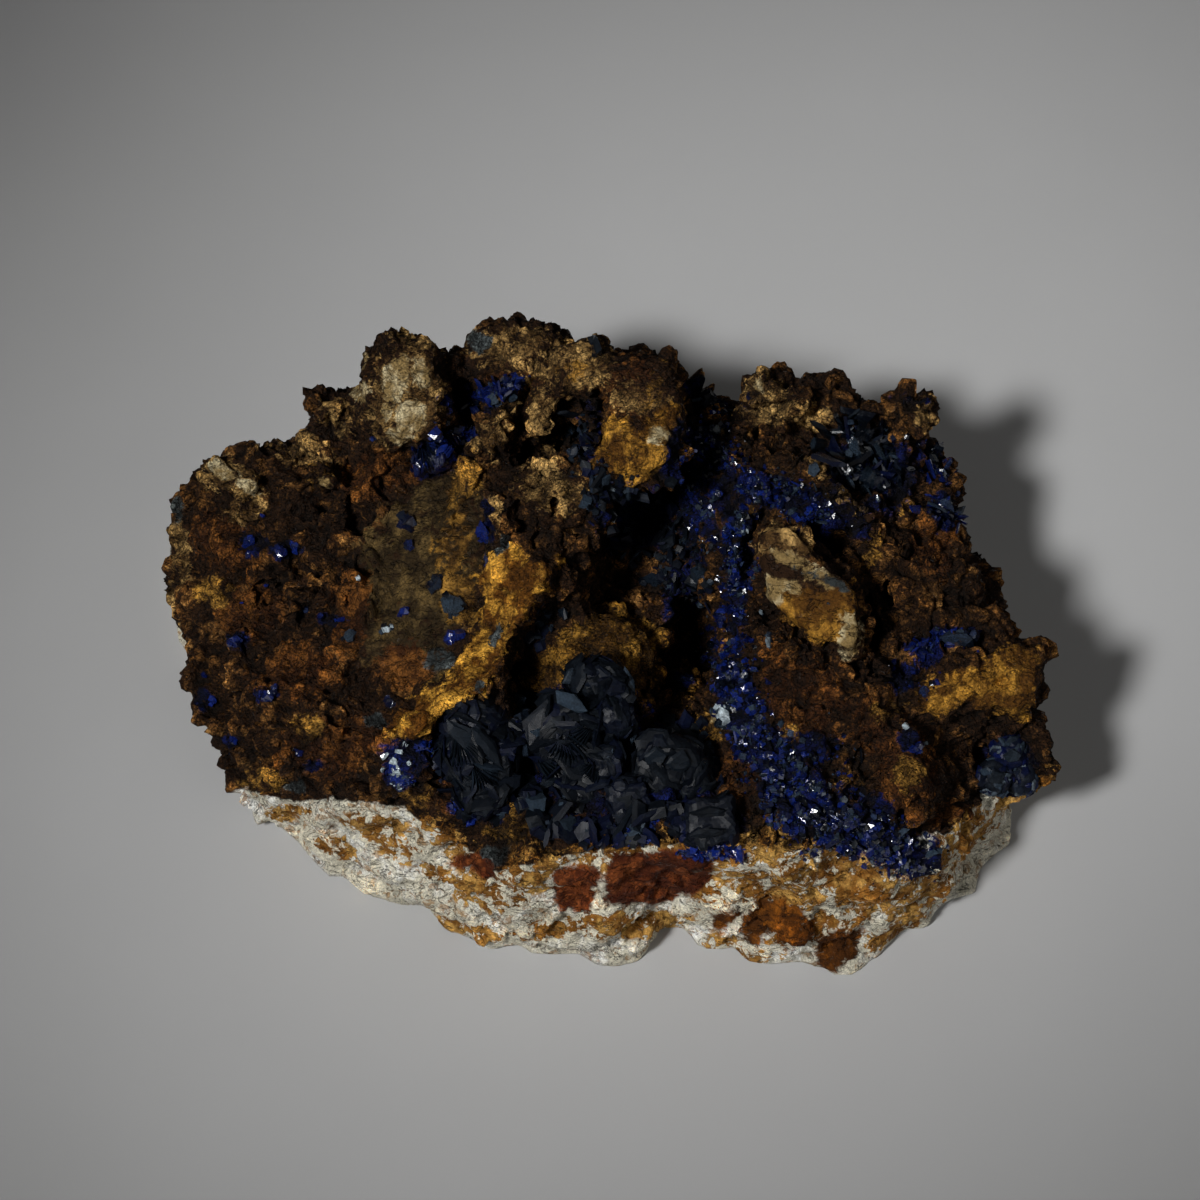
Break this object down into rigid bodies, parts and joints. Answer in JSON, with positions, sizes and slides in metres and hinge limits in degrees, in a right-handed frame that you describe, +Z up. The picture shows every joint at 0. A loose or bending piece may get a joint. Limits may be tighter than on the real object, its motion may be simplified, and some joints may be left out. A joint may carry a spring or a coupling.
{
  "type": "azurite specimen",
  "caption": "Natural mineral specimen: dark blue azurite roses and crusts in the hollows of brown ironstone, backed by pale host rock that it lies on.",
  "frame": {"origin": "middle of the bounding box at the height of the flat underside", "axes": "+Z up out of the crystal face, +X along the longest side, -Y towards the pale wall that the display side looks over"},
  "size_m": [0.112, 0.0778, 0.044],
  "materials": {
    "rock": "rough brown ironstone over pale cream host rock",
    "azurite": "glassy, nearly black blue crystals"
  },
  "bodies": {
    "root": {"matrix": "rock", "rose_middle": "azurite", "rose_left": "azurite", "rose_low": "azurite", "block_low": "azurite", "rose_right": "azurite", "spark_cluster": "azurite", "crust_band": "azurite", "crust_slope": "azurite", "crust_top": "azurite", "crust_right": "azurite", "crust_rim": "azurite", "crust_hollow": "azurite"}
  },
  "joints": []
}
